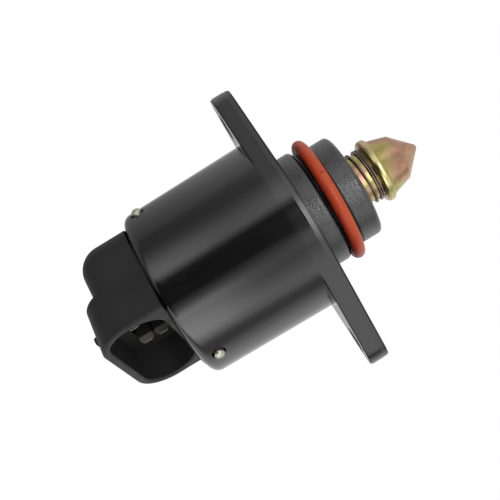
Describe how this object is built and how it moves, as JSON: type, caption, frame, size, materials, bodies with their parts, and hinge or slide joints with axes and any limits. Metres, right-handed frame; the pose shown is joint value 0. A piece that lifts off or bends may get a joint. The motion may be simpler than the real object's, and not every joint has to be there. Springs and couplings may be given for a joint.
{
  "type": "idle air control valve",
  "caption": "Flange-mounted linear stepper valve: a black can with a plug socket, an O-ring sealed snout and a sprung conical pintle that slides in and out.",
  "frame": {"origin": "centre of the flange's front face, on the valve's axis", "axes": "+Z along the axis towards the pintle's tip, +X towards the longer ear of the flange"},
  "size_m": [0.0589, 0.0354, 0.0711],
  "materials": {
    "black_casting": "satin black coating on a light alloy casting",
    "black_plastic": "matt glass-filled plastic",
    "tinned_brass": "tin plated",
    "plated_steel": "zinc plated",
    "black_rubber": "satin",
    "orange_rubber": "satin silicone",
    "yellow_plated_steel": "yellow zinc chromate with pink and olive tints",
    "bright_steel": "ground",
    "spring_steel": "drawn wire",
    "natural_plastic": "moulded",
    "brown_plastic": "moulded",
    "grey_plastic": "moulded",
    "magnet_ferrite": "ground ferrite",
    "bush_bronze": "sintered",
    "plated_sheet": "zinc plated sheet",
    "copper_wire": "enamelled copper"
  },
  "bodies": {
    "housing": {"housing": "black_casting", "end_cap": "black_plastic", "terminal_1": "tinned_brass", "terminal_2": "tinned_brass", "terminal_3": "tinned_brass", "terminal_4": "tinned_brass", "retaining_pins": "plated_steel", "cap_seal": "black_rubber", "snout_o_ring": "orange_rubber", "pintle_spring": "spring_steel", "screw_guide": "natural_plastic", "bearing_outer_ring": "bright_steel", "rear_bush": "bush_bronze", "wave_washer": "bright_steel", "stator_shell_front": "plated_sheet", "pole_plate_front": "plated_sheet", "pole_plate_rear": "plated_sheet", "stator_shell_rear": "plated_sheet", "bobbin_front": "natural_plastic", "bobbin_rear": "natural_plastic", "coil_front": "copper_wire", "coil_rear": "copper_wire"},
    "rotor": {"rotor_hub": "grey_plastic", "rotor_magnet": "magnet_ferrite", "bearing_inner_ring": "bright_steel"},
    "ball_set": {"bearing_cage": "brown_plastic", "bearing_balls": "bright_steel"},
    "pintle": {"pintle": "yellow_plated_steel", "lead_screw": "bright_steel"}
  },
  "joints": [
    {"name": "rotor_spin", "type": "hinge", "parent": "housing", "child": "rotor", "pos_m": [0, 0, 0], "axis": [0, 0, 1], "range_deg": [-1800, 1260]},
    {"name": "ball_set_spin", "type": "hinge", "parent": "housing", "child": "ball_set", "pos_m": [0, 0, 0], "axis": [0, 0, 1], "range_deg": [-720, 504]},
    {"name": "pintle_slide", "type": "slide", "parent": "housing", "child": "pintle", "axis": [0, 0, 1], "range_m": [-0.0035, 0.005], "deforming": ["pintle_spring"]}
  ],
  "couplings": [
    {"joint": "pintle_slide", "follows": "rotor_spin", "m_per_rad": -0.00015915},
    {"joint": "ball_set_spin", "follows": "rotor_spin", "ratio": 0.4}
  ]
}
